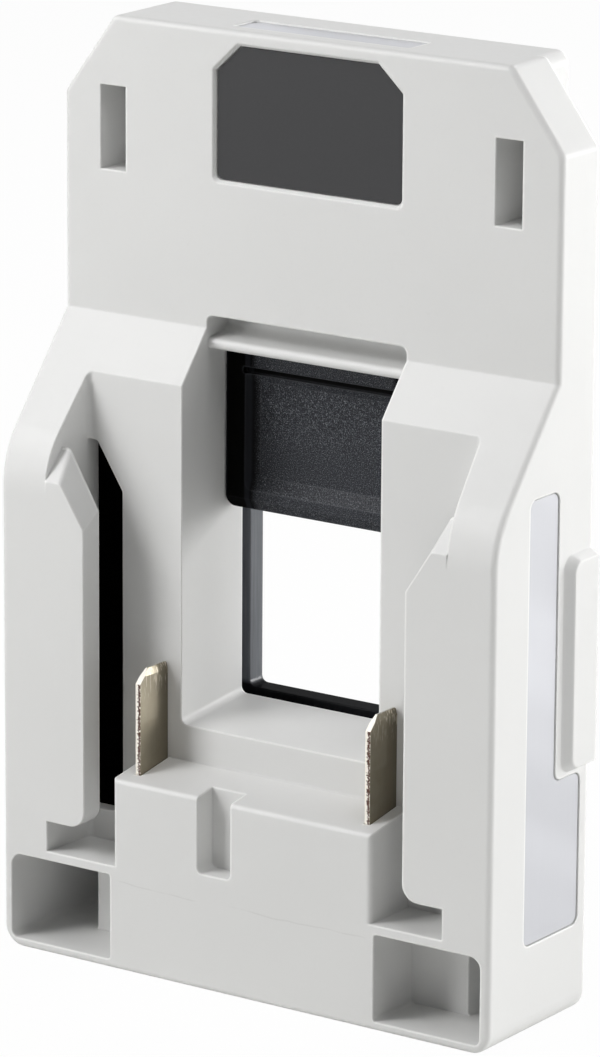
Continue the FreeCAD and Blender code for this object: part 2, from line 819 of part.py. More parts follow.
def inner_frame():
    g = frame_gap
    w = window_half_w + window_wall + g
    z_sill = window_sill_z - window_sill_wall
    y_web = window_wall_back_y + g
    web = box(w, w + web_t, frame_y0, y_web, z_sill, frame_z1)
    web = web.fuse(box(w, w + web_t, frame_y0 + web_step, y_web, frame_z1 - 1, latch_top_z))
    lug_z0 = frame_z1 - lug_foot
    lug = prism_x([(frame_y0 + 2.5 * frame_t, lug_z0), (collar_step_y, lug_z0), (collar_step_y, lug_top_z),
                   (pivot_y - pin_r - lug_neck, lug_top_z)], {2: lug_r, 3: lug_r}, w, w + web_t)
    frame = frame_plate()
    for shape in both(web.fuse(lug)):
        frame = frame.fuse(shape)
    # collar behind the window walls
    outer = w + web_t
    y0 = window_wall_back_y + 0.05
    z0 = collar_bottom_z - collar_t
    collar = box(-outer, outer, y0, collar_step_y, z0 - 1.2, latch_top_z)
    wt = window_half_w + collar_t
    r = collar_corner_r
    tail = prism_y([(-wt, z0), (wt, z0), (wt, latch_top_z), (-wt, latch_top_z)], {0: r, 1: r}, y0, collar_back_y)
    collar = collar.fuse(tail)
    h, r = window_half_w, collar_hole_r
    z0, z1 = collar_bottom_z, latch_top_z + 1
    hole = prism_y([(-h, z0), (h, z0), (h, z1), (-h, z1)], {0: r, 1: r}, y0 - 1, collar_back_y + 1)
    collar = collar.cut(hole)
    frame = frame.fuse(collar)
    # lower cross bar that joins both sides under the window
    frame = frame.fuse(box(-outer, outer, frame_y0, frame_y0 + frame_t, frame_bar_z0, z_sill - g))
    frame = frame.cut(cyl_x(pivot_y, pivot_z, pin_r + 0.01, -half_w, half_w))
    for x in (-frame_screw_x, frame_screw_x):
        for z in frame_screw_z:
            frame = frame.cut(cyl_y(x, z, boss_r + 0.15, 0, frame_boss_y + seat))
            frame = frame.cut(cyl_y(x, z, screw_r + 0.1, 0, reach))
            frame = frame.cut(cyl_y(x, z, screw_head_r + 0.2, frame_boss_y + frame_t, frame_boss_y + 4 * frame_t))
    return frame.removeSplitter()


def latch_front_y(z):
    k = (z - latch_bottom_z) / (latch_top_z - latch_bottom_z)
    return latch_front_bottom_y + (latch_front_top_y - latch_front_bottom_y) * k


def flap_ring(x, z0, z1, depth, r):
    """Rectangle with round corners that lies at a depth under the flap's sloping face."""
    return outline([(-x, z0), (x, z0), (x, z1), (-x, z1)], {0: r, 1: r, 2: r, 3: r},
                   lambda u, v: FreeCAD.Vector(u, latch_front_y(v) + depth, v))


def flap():
    """Panel that the finger pushes, with a bevelled foot and a recess with bevelled sides."""
    y_t, y_b = latch_front_top_y, latch_front_bottom_y
    z_t, z_b = latch_top_z, latch_bottom_z
    bevel_z = z_b + latch_foot_bevel_z
    panel = prism_x([(y_b + latch_foot_bevel_y, z_b), (latch_front_y(bevel_z), bevel_z), (y_t, z_t), (y_t + latch_t, z_t),
                     (y_b + latch_t, z_b)], {4: 0.6}, -latch_half_w, latch_half_w)
    corners = []
    for e in panel.Edges:
        b = e.BoundBox
        if b.XMax - b.XMin < 0.01 and b.ZMax < z_b + 0.7 and b.YMax - b.YMin > 1.0:
            corners.append(e)
    panel = panel.makeFillet(latch_corner_r, corners)
    x, k = latch_half_w - flap_margin, flap_bevel
    rings = [flap_ring(x, flap_z0, flap_z1, -0.3, 1.2), flap_ring(x - k, flap_z0 + k, flap_z1 - k, flap_recess, 0.8)]
    panel = panel.cut(Part.makeLoft(rings, True, True))
    # fine groove over the recess
    h = flap_groove_h
    rings = [flap_ring(x, flap_z1 - h, flap_z1, -0.3, 0.2), flap_ring(x, flap_z1 - h, flap_z1, h, 0.2)]
    return panel.cut(Part.makeLoft(rings, True, True))


def release_latch():
    z_t = latch_top_z
    w = latch_half_w - shank_inset
    # shank from the panel to the barrel on the pin
    y_s = catch_back_y + catch_wall + shank_gap
    y_p = latch_front_top_y + latch_t
    shank = prism_x([(y_s, z_t - 2 * shank_t), (y_s, z_t), (pivot_y - barrel_r, pivot_z), (pivot_y, pivot_z),
                     (pivot_y + shank_t - shank_inset, pivot_z - pin_r), (pivot_y + shank_t / 2, z_t - shank_t / 2),
                     (y_p - seat, z_t - 2.75 * shank_t)], {}, -w, w)
    barrel = cyl_x(pivot_y, pivot_z, barrel_r, -w, w)
    arm = prism_x([(arm_y0, pivot_z), (arm_y1, pivot_z), (arm_y1, hook_z0), (hook_tip_y, hook_z0), (hook_tip_y, hook_z0 + hook_flat),
                   (arm_y1, hook_z1), (arm_y0, hook_z1)], {2: hook_root_r, 3: hook_tip_r, 4: hook_tip_r, 6: arm_top_r},
                  -arm_half_w, arm_half_w)
    latch = flap().fuse(shank).fuse(barrel).fuse(arm)
    # room for the spring between the two halves of the barrel
    gap = spring_gap_half
    room_r = barrel_r + spring_room
    z0, z1 = pivot_z - pin_r, pivot_z + room_r + wire_r
    latch = latch.cut(cyl_x(pivot_y, pivot_z, room_r, -gap, gap))
    latch = latch.cut(box(-gap, gap, latch_front_top_y, pivot_y, z0, z1))
    latch = latch.cut(box(-gap, gap, latch_front_top_y, arm_y0 + 0.9, pivot_z, z1))
    latch = latch.cut(cyl_x(pivot_y, pivot_z, pin_r + pin_clear, -half_w, half_w))
    return latch.removeSplitter()


def latch_pin():
    pin = cyl_x(pivot_y, pivot_z, pin_r, -pin_half_l, pin_half_l)
    return pin.makeChamfer(pin_chamfer, [e for e in pin.Edges if e.BoundBox.XMax - e.BoundBox.XMin < 0.01])


def latch_spring():
    """Torsion spring: one leg up against the hook arm, one forward on the roof of the catch pocket."""
    turns = spring_turns - 0.25
    length = turns * spring_pitch
    x0 = -length / 2
    pts = []
    steps = int(turns * 16)
    for i in range(steps + 1):
        a = math.pi + 2 * math.pi * turns * i / steps
        x = x0 + length * i / steps
        pts.append(FreeCAD.Vector(x, pivot_y + spring_mean_r * math.cos(a), pivot_z + spring_mean_r * math.sin(a)))
    curve = Part.BSplineCurve()
    curve.interpolate(pts)
    coil = curve.toShape()
    first, last = pts[0], pts[-1]
    spine = Part.Wire([coil])
    ring = Part.Wire([Part.makeCircle(wire_r, first, curve.tangent(curve.FirstParameter)[0])])
    body = spine.makePipeShell([ring], True, True)
    leg_up = Part.makeCylinder(wire_r, spring_leg_up, first, FreeCAD.Vector(0, 0, 1))
    leg_ahead = Part.makeCylinder(wire_r, spring_leg_ahead, last, FreeCAD.Vector(0, -1, 0))
    return body.fuse(leg_up).fuse(leg_ahead)


def battery_terminal(x):
    """Blade with a chamfered, coined tip, a shoulder in the carrier and a tail through the board."""
    h = blade_t / 2
    blade = prism_x([(blade_y0, blade_root_z), (blade_y0, blade_top_z - blade_chamfer_z), (blade_y0 + blade_chamfer_y, blade_top_z),
                     (blade_y1, blade_top_z), (blade_y1, blade_root_z)], {3: 0.3}, x - h, x + h)
    y0, y1 = carrier_y0 + carrier_wall, blade_y1 + blade_foot_step
    foot = prism_x([(y0, blade_foot_z), (y0, blade_root_z + 1), (blade_y1, blade_root_z + 1), (y1, blade_foot_z + 4), (y1, blade_foot_z)],
                   {}, x - h, x + h)
    z0, z1, y2 = blade_tail_z0, blade_tail_z1 + 0.5, board_y0 + board_t + 1.4
    tail = prism_x([(y0, z0), (y0, z1), (y2, z1), (y2, z0 + 2.0), (board_y0 - 0.6, z0 + 2.0), (board_y0 - 1.4, z0)], {}, x - h, x + h)
    terminal = blade.fuse(foot).fuse(tail)
    # coined bevels on both faces of the tip
    for s in (-1, 1):
        face, core, far = x + s * h, x + s * (h - blade_coin), x + s * (h + 1)
        wedge = prism_y([(face, blade_top_z - 4 * blade_coin), (far, blade_top_z - 4 * blade_coin), (far, blade_top_z + 1),
                         (core, blade_top_z + 1), (core, blade_top_z)], {}, -1, plate_y)
        terminal = terminal.cut(wedge)
    return terminal.removeSplitter()


def terminal_carrier():
    g = blade_slot_clear / 2
    carrier = box(-carrier_half_w, carrier_half_w, carrier_y0, carrier_y1, carrier_z0, carrier_z1)
    t = notch_wall + 0.15
    carrier = carrier.cut(box(notch_x0 - t, notch_x1 + t, 0, notch_depth + t, notch_bottom_z - t, block_top_z))
    h = blade_t / 2 + g
    for x in (-blade_x, blade_x):
        carrier = carrier.cut(box(x - h, x + h, 0, blade_y1 + blade_foot_step + g, carrier_z0 - 1, carrier_z1 + 1))
    w = carrier_hollow_half_w
    carrier = carrier.cut(box(-w, w, carrier_y0 + 2.6, carrier_y1 + 1, carrier_z0 + 2.4, carrier_z1 + 1))
    return carrier.removeSplitter()


def circuit_board():
    board = prism_y([(-board_half_w, board_z0), (board_half_w, board_z0), (board_half_w, board_z1), (-board_half_w, board_z1)],
                    {0: 1.0, 1: 1.0, 2: 1.0, 3: 1.0}, board_y0, board_y0 + board_t)
    h = blade_t / 2 + 0.15
    for x in (-blade_x, blade_x):
        board = board.cut(box(x - h, x + h, 0, reach, blade_tail_z0 + 1.8, blade_tail_z1 + 0.7))
    for x in (-board_boss_x, board_boss_x):
        board = board.cut(cyl_y(x, board_boss_z, screw_r + 0.15, 0, reach))
    return board


def appliance_contact(x):
    """Folded sheet that grips a blade coming in from the back, with a tail for the lead."""
    h = contact_gap / 2
    t = contact_sheet
    y0, y1 = holder_y0 + 1.7, holder_y1 - 0.5
    leaf = [(x + h, y0 + t), (x + h, y1 - 2.2), (x + h * 0.55, y1 - 1.6), (x + h + 0.5, y1), (x + h + t + 0.45, y1 - 0.2),
            (x + h * 0.55 + t, y1 - 1.7), (x + h + t, y1 - 2.4), (x + h + t, y0), (x, y0), (x, y0 + t)]
    half = prism_z(leaf, {}, contact_z0, contact_z1)
    other = half.mirror(FreeCAD.Vector(x, 0, 0), FreeCAD.Vector(1, 0, 0))
    tail = box(x - t / 2, x + t / 2, lead_y, lead_y + 4.0, lead_end_z + 1.6, contact_z0 + 0.5)
    contact = half.fuse(other).fuse(tail)
    # slits that part each side into three fingers
    for k in (1, 2):
        z = contact_z0 + (contact_z1 - contact_z0) * k / 3
        contact = contact.cut(box(x - 3, x + 3, y0 + 2.4, y1 + 1, z - contact_slit / 2, z + contact_slit / 2))
    return contact.removeSplitter()


def contact_holder():
    w, y0, y1 = holder_half_w, holder_y0, holder_y1
    t = holder_wall
    holder = prism_z([(-w, y0), (w, y0), (w, y1), (-w, y1)], {0: 1.0, 1: 1.0}, holder_z0, holder_z1)
    for x in (-contact_x, contact_x):
        holder = holder.cut(box(x - t, x + t, y0 + t, y1 + 1, contact_z0 - 0.1, contact_z1 + 0.1))
        h = contact_sheet / 2 + 0.15
        holder = holder.cut(box(x - h, x + h, y0 + t, y1 + 1, holder_z0 - 1, contact_z0 + 1))
    # hollow middle between the two chambers
    w = holder_hollow_half_w
    holder = holder.cut(box(-w, w, y0 + t, y1 + 1, holder_z0 - 1, holder_z1 - t))
    return holder.removeSplitter()


def lead(side):
    """Insulated wire from the board's solder side up to the contact."""
    v = FreeCAD.Vector
    y0 = board_y0 + board_t + seat
    y1 = y0 + lead_bend_r + 0.4
    x0, x1, x2 = side * lead_start_x, side * lead_x, side * lead_end_x
    pts = [v(x0, y0, lead_z0), v(x0, y1, lead_z0), v(x0, y1, lead_z0 + 4.5), v(x1, lead_y, lead_z0 + 12.5),
           v(x1, lead_y, lead_end_z - 9.5), v(x2, lead_y + 2.0, lead_end_z - 5.0), v(x2, lead_y + 2.0, lead_end_z)]
    return tube(pts, lead_r, lead_bend_r)


def lead_tab(side):
    """Crimp on the end of a lead, with a flat that lies on the contact's tail."""
    x, y = side * lead_end_x, lead_y + 2.0
    z = lead_end_z
    deep = crimp_l - 1.4
    up = FreeCAD.Vector(0, 0, 1)
    crimp = Part.makeCylinder(lead_r + crimp_t, crimp_l, FreeCAD.Vector(x, y, z - deep), up)
    crimp = crimp.cut(Part.makeCylinder(lead_r + 0.01, deep + 0.1, FreeCAD.Vector(x, y, z - deep - 0.1), up))
    inner = contact_x + contact_sheet / 2 + seat
    flat = box(inner, inner + tab_t, y - 1.4, y + 1.4, z + 1.0, holder_z0 - 0.3)
    if side < 0:
        flat = mirrored(flat)
    return crimp.fuse(flat).removeSplitter()


def screw(x, z, head_y, length):
    """Pan head screw along Y with a cross recess; the head is at head_y and the shank runs toward -Y."""
    top = head_y + screw_head_h
    head = cyl_y(x, z, screw_head_r, head_y, top)
    rim = [e for e in head.Edges if e.BoundBox.YMin > top - 0.01 and e.BoundBox.XMax - e.BoundBox.XMin > 1]
    head = head.makeFillet(screw_rim_r, rim)
    shank = cyl_y(x, z, screw_r, head_y - length, head_y + 0.1)
    tip = [e for e in shank.Edges if e.BoundBox.YMax < head_y - length + 0.01 and e.BoundBox.XMax - e.BoundBox.XMin > 1]
    shank = shank.makeChamfer(screw_tip, tip)
    a, b, y = screw_cross_l, screw_cross_w, top - screw_cross_depth
    cross = box(x - a, x + a, y, top + 1, z - b, z + b).fuse(box(x - b, x + b, y, top + 1, z - a, z + a))
    return head.fuse(shank).cut(cross)


def screws(xs, zs, head_y, length):
    return Part.makeCompound([screw(x, z, head_y, length) for x in xs for z in zs])


def front_label():
    pts, rr = front_label_outline(0.0)
    return prism_y(pts, rr, plate_y + label_recess - label_t - seat, plate_y + label_recess - seat)


def side_label():
    pts, rr = side_label_outline(0.0)
    x = half_w - side_label_recess + seat
    return prism_x(pts, rr, x, x + label_t)


def top_label():
    pts, rr = top_label_outline(0.0)
    z = height - top_label_recess + seat
    return prism_z(pts, rr, z, z + label_t)


parts = {}


def main():
    parts["front_housing"] = front_housing()
    parts["rear_cover"] = rear_cover()
    parts["inner_frame"] = inner_frame()
    parts["release_latch"] = release_latch()
    parts["latch_pin"] = latch_pin()
    parts["latch_spring"] = latch_spring()
    parts["battery_terminal_left"] = battery_terminal(-blade_x)
    parts["battery_terminal_right"] = battery_terminal(blade_x)
    parts["terminal_carrier"] = terminal_carrier()
    parts["circuit_board"] = circuit_board()
    parts["contact_left"] = appliance_contact(-contact_x)
    parts["contact_right"] = appliance_contact(contact_x)
    parts["contact_holder"] = contact_holder()
    parts["lead_left"] = lead(-1)
    parts["lead_right"] = lead(1)
    parts["lead_tab_left"] = lead_tab(-1)
    parts["lead_tab_right"] = lead_tab(1)
    cover_head_y = rear_y - screw_head_h - screw_sink + seat
    parts["cover_screws"] = screws((-cover_screw_x, cover_screw_x), cover_screw_z, cover_head_y, cover_screw_l)
    frame_head_y = frame_boss_y + frame_t + seat
    parts["frame_screws"] = screws((-frame_screw_x, frame_screw_x), frame_screw_z, frame_head_y, frame_screw_l)
    board_head_y = board_y0 + board_t + seat
    parts["board_screws"] = screws((-board_boss_x, board_boss_x), (board_boss_z,), board_head_y, board_screw_l)
    parts["front_label"] = front_label()
    parts["side_label"] = side_label()
    parts["top_label"] = top_label()
    os.makedirs("parts", exist_ok=True)
    for name, shape in parts.items():
        if len(shape.Solids) == 1:
            shape = shape.Solids[0]
        print(name, shape.ShapeType, len(shape.Solids), "volume", round(shape.Volume, 1), "valid", shape.isValid())
        shape.exportStep("parts/" + name + ".step")


main()
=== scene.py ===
"""Battery power adapter: finishes, light, floor and camera round the fixed frame."""

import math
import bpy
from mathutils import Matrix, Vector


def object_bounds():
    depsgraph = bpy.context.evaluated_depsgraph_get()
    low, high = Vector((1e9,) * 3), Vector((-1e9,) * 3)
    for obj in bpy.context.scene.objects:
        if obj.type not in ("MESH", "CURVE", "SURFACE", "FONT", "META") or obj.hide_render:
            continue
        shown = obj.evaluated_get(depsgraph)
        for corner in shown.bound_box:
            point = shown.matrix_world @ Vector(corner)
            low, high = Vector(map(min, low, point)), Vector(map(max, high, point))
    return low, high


bl_info = {
    "name": "Battery Power Adapter",
    "version": (1, 0, 0),
    "blender": (4, 5, 0),
    "location": "View3D > Sidebar > Adapter",
    "description": "Finishes a moulded battery power adapter and sets its light, floor and camera",
    "category": "Object",
}

import bmesh
import bpy
from mathutils import Matrix, Vector

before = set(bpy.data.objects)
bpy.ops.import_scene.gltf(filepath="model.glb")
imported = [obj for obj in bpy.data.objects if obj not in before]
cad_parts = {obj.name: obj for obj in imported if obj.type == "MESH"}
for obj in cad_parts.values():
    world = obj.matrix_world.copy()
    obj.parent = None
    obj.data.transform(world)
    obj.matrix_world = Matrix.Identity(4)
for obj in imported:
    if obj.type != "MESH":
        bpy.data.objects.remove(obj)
CAD_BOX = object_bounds()
MM = 0.001

# places on the part that the finishes follow
WELD_LINE_Z = 12.6 * MM
BLOCK_HALF_W = 19.6 * MM
BLOCK_FRONT_Y = 0.4 * MM
LATCH_GRAIN_HALF_W = 12.1 * MM
LATCH_RECESS_HALF_W = 12.7 * MM
LATCH_GROOVE_Z = 81.85 * MM
COLLAR_HALF_W = 19.0 * MM
COLLAR_FOOT_Z = 35.5 * MM
BLADE_X = 18.8 * MM
BLADE_FRONT_Y = 2.55 * MM
BLADE_BACK_Y = 8.85 * MM
BLADE_TIP_Z = 42.3 * MM

# squash of a pattern along one axis, for marks that run that way
ALONG_X = (0.06, 1.0, 1.0)
ALONG_Y = (1.0, 0.06, 1.0)
ALONG_Z = (1.0, 1.0, 0.06)

# name, turn from the front to the right and rise in degrees, and the level on a white card that
# stands at the object and faces the lamp
LAMPS = (
    ("front_left_softbox", -40.0, 38.0, 0.54),
    ("low_front_left_softbox", -40.0, 8.0, 0.20),
    ("left_softbox", -70.0, 38.0, 0.13),
    ("right_softbox", 100.0, 8.0, 0.39),
    ("right_rear_softbox", 140.0, 10.0, 0.52),
    ("rear_softbox", 180.0, 20.0, 0.32),
    ("high_right_softbox", 65.0, 68.0, 0.21),
)
LAMP_DISTANCE = 0.75
LAMP_SIZE = 0.30
SURROUND_LIGHT = 0.02
FLOOR_HALF_W = 3.0
FLOOR_WHITE = 0.97
SENSOR_MM = 36.0
NEAREST, FARTHEST = 0.01, 20.0

# settings and inputs that many nodes share
WHITE = (1.0, 1.0, 1.0, 1.0)
RGBA = {"data_type": "RGBA"}
ADD = {"operation": "ADD"}
SUBTRACT = {"operation": "SUBTRACT"}
MULTIPLY = {"operation": "MULTIPLY"}
MAXIMUM = {"operation": "MAXIMUM"}
ABSOLUTE = {"operation": "ABSOLUTE"}
SIGN = {"operation": "SIGN"}
DOT_PRODUCT = {"operation": "DOT_PRODUCT"}
SMOOTH = {"interpolation_type": "SMOOTHSTEP"}
ROUNDED = {"samples": 6}
FALLING = {"To_Min": 1.0, "To_Max": 0.0}


def linear(code):
    """Linear colour with alpha from a hex code, such as 'd8d6d0'."""
    parts = [int(code[i:i + 2], 16) / 255 for i in (0, 2, 4)]
    return [p / 12.92 if p <= 0.04045 else ((p + 0.055) / 1.055) ** 2.4 for p in parts] + [1.0]


def colour_property(name, description, code):
    return bpy.props.FloatVectorProperty(name=name, description=description, subtype="COLOR",
                                         size=4, min=0.0, max=1.0, default=linear(code))


class AdapterSizes(bpy.types.PropertyGroup):
    edge_soft: bpy.props.FloatProperty(
        name="Edge softness", description="Radius that the moulded edges catch light over",
        default=0.42 * MM, min=0.0, max=2 * MM, subtype="DISTANCE", unit="LENGTH")
    # painted highlight: width of the near-white line painted along the outer edges
    edge_highlight: bpy.props.FloatProperty(
        name="Bright edge",
        description="Width of the brighter line along the outer edges of the pale mouldings",
        default=0.34 * MM, min=0.0, max=2 * MM, subtype="DISTANCE", unit="LENGTH")
    grain: bpy.props.FloatProperty(
        name="Housing grain", description="Size of the fine grain on the pale mouldings",
        default=0.16 * MM, min=0.02 * MM, max=2 * MM, subtype="DISTANCE", unit="LENGTH")
    latch_grain: bpy.props.FloatProperty(
        name="Latch grain", description="Size of the pebbled grain on the black latch",
        default=0.22 * MM, min=0.05 * MM, max=2 * MM, subtype="DISTANCE", unit="LENGTH")


class AdapterColours(bpy.types.PropertyGroup):
    housing: colour_property("Housing", "Pale grey of the mouldings", "dededd")
    latch: colour_property("Latch", "Blue-grey of the grained face of the release latch", "313338")
    frame_black: colour_property("Inner frame", "Black of the inner frame", "030303")
    front_label: colour_property("Front label", "Dark grey of the front label", "262628")
    silver_label: colour_property("Silver label", "Silver of the side and top labels", "d0d1d6")
    blade: colour_property("Blades", "Dull plating of the blade terminals", "b3aa96")
    board: colour_property("Board", "Green of the circuit board", "1d5a36")


class AdapterCamera(bpy.types.PropertyGroup):
    azimuth: bpy.props.FloatProperty(
        name="Azimuth", description="Turn of the view round the upright axis",
        default=math.radians(34.695), subtype="ANGLE", unit="ROTATION")
    pitch: bpy.props.FloatProperty(
        name="Pitch", description="Angle that the camera looks down by",
        default=math.radians(14.839), subtype="ANGLE", unit="ROTATION")
    roll: bpy.props.FloatProperty(
        name="Roll", description="Turn of the camera round its own line of sight",
        default=math.radians(0.359), subtype="ANGLE", unit="ROTATION")
    distance: bpy.props.FloatProperty(
        name="Distance", description="Distance from the aimed point along the line of sight",
        default=788.636 * MM, subtype="DISTANCE", unit="LENGTH")
    aside: bpy.props.FloatProperty(
        name="Aside", description="Offset of the camera to its right", default=0.928 * MM,
        subtype="DISTANCE", unit="LENGTH")
    below: bpy.props.FloatProperty(
        name="Below", description="Offset of the camera downwards", default=4.68 * MM,
        subtype="DISTANCE", unit="LENGTH")
    focal: bpy.props.FloatProperty(
        name="Focal length", description="Lens in millimetres for a sensor 36 mm high",
        default=200.93)
    aim: bpy.props.FloatVectorProperty(
        name="Aim", description="Point that the distance is measured from", size=3,
        default=(0.0, 12 * MM, 68 * MM), subtype="TRANSLATION", unit="LENGTH")


def sizes():
    return bpy.context.scene.adapter_sizes


def colours():
    return bpy.context.scene.adapter_colours


def shade(colour, share):
    """The colour with its light scaled, never over white."""
    return [min(1.0, c * share) for c in colour[:3]] + [1.0]


def pattern(size):
    """Texture scale for marks of about this many millimetres."""
    return 1 / (size * MM)


def add_node(tree, kind, out=0, settings=None, **inputs):
    """Adds a node, sets or links its inputs and gives one output, or all where out is None.

    An input is named in words, with _ for a space, or by its number after an i.
    """
    node = tree.nodes.new("ShaderNode" + kind)
    for name, value in (settings or {}).items():
        setattr(node, name, value)
    for key, value in inputs.items():
        place = int(key[1:]) if key[0] == "i" and key[1:].isdigit() else key.replace("_", " ")
        socket = node.inputs[place]
        if isinstance(value, bpy.types.NodeSocket):
            tree.links.new(value, socket)
        else:
            socket.default_value = value
    return node.outputs if out is None else node.outputs[out]


def start_material(name):
    """A new material, the short way to add its nodes, and the place on the object in metres."""
    material = bpy.data.materials.new(name)
    material.use_nodes = True
    tree = material.node_tree
    tree.nodes.clear()

    def add(kind, out=0, settings=None, **inputs):
        return add_node(tree, kind, out, settings, **inputs)

    return material, add, add("TexCoord", "Object")


def dress(node, material):
    """The material on a piece of the frame."""
    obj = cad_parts[node]
    obj.data.materials.clear()
    obj.data.materials.append(material)


def moulded_abs():
    """ABS moulded in a finely etched steel tool.

    The eye sees an even satin grey whose tone drifts a little, a grain that is only just there,
    soft corners with a painted highlight, and one faint weld line, where two streams of plastic
    met on the terminal block.
    """
    material, add, place = start_material("moulded_abs")
    x, y, z = add("SeparateXYZ", None, Vector=place)

    drift = add("TexNoise", Vector=place, Scale=pattern(28), Detail=2.0)
    drift = add("MapRange", Value=drift, From_Min=0.3, From_Max=0.7)
    base = add("Mix", 2, RGBA, i0=drift, i6=colours().housing, i7=shade(colours().housing, 0.975))
    speck = add("TexNoise", Vector=place, Scale=pattern(0.5), Detail=3.0)
    speck = add("MapRange", Value=speck, From_Min=0.62, From_Max=0.8, To_Max=0.05)
    base = add("Mix", 2, RGBA, i0=speck, i6=base, i7=linear("a9a7a2"))

    # weld line, broken and wandering up and down by 0.7 mm, on the front of the block only
    wander = add("TexNoise", Vector=place, Scale=pattern(9))
    wander = add("Math", settings=MULTIPLY, i0=wander, i1=1.4 * MM)
    height = add("Math", settings=ADD, i0=z, i1=wander)
    height = add("Math", settings=SUBTRACT, i0=height, i1=WELD_LINE_Z + 0.7 * MM)
    height = add("Math", settings=ABSOLUTE, i0=height)
    line = add("MapRange", Value=height, From_Max=0.14 * MM, **FALLING)
    aside = add("Math", settings=ABSOLUTE, i0=x)
    block = add("MapRange", Value=aside, From_Min=BLOCK_HALF_W, From_Max=BLOCK_HALF_W + 1.0 * MM,
                **FALLING)
    front = add("MapRange", Value=y, From_Min=BLOCK_FRONT_Y, From_Max=BLOCK_FRONT_Y + 0.5 * MM,
                To_Min=0.16, To_Max=0.0)
    broken = add("TexNoise", Vector=place, Scale=pattern(5))
    broken = add("MapRange", Value=broken, From_Min=0.42, From_Max=0.6)
    for mask in (block, front, broken):
        line = add("Math", settings=MULTIPLY, i0=line, i1=mask)
    base = add("Mix", 2, RGBA, i0=line, i6=base, i7=linear("8f8d88"))

    # painted highlight: the outer edges are painted near white, where they would catch the light
    solid = add("AmbientOcclusion", "AO", {"inside": True, "samples": 4},
                Distance=sizes().edge_highlight)
    edge = add("MapRange", settings=SMOOTH, Value=solid, From_Min=0.62, From_Max=0.95,
               To_Min=0.75, To_Max=0.0)
    base = add("Mix", 2, RGBA, i0=edge, i6=base, i7=linear("fdfdfb"))

    rough = add("TexNoise", Vector=place, Scale=pattern(1.1), Detail=3.0)
    rough = add("MapRange", Value=rough, From_Min=0.25, From_Max=0.75, To_Min=0.42, To_Max=0.52)
    grain = add("TexNoise", Vector=place, Scale=1 / sizes().grain)
    normal = add("Bevel", settings=ROUNDED, Radius=sizes().edge_soft)
    normal = add("Bump", Height=grain, Distance=0.012 * MM, Strength=0.5, Normal=normal)
    shader = add("BsdfPrincipled", Base_Color=base, Roughness=rough, Normal=normal, IOR=1.5)
    add("OutputMaterial", None, Surface=shader)
    return material


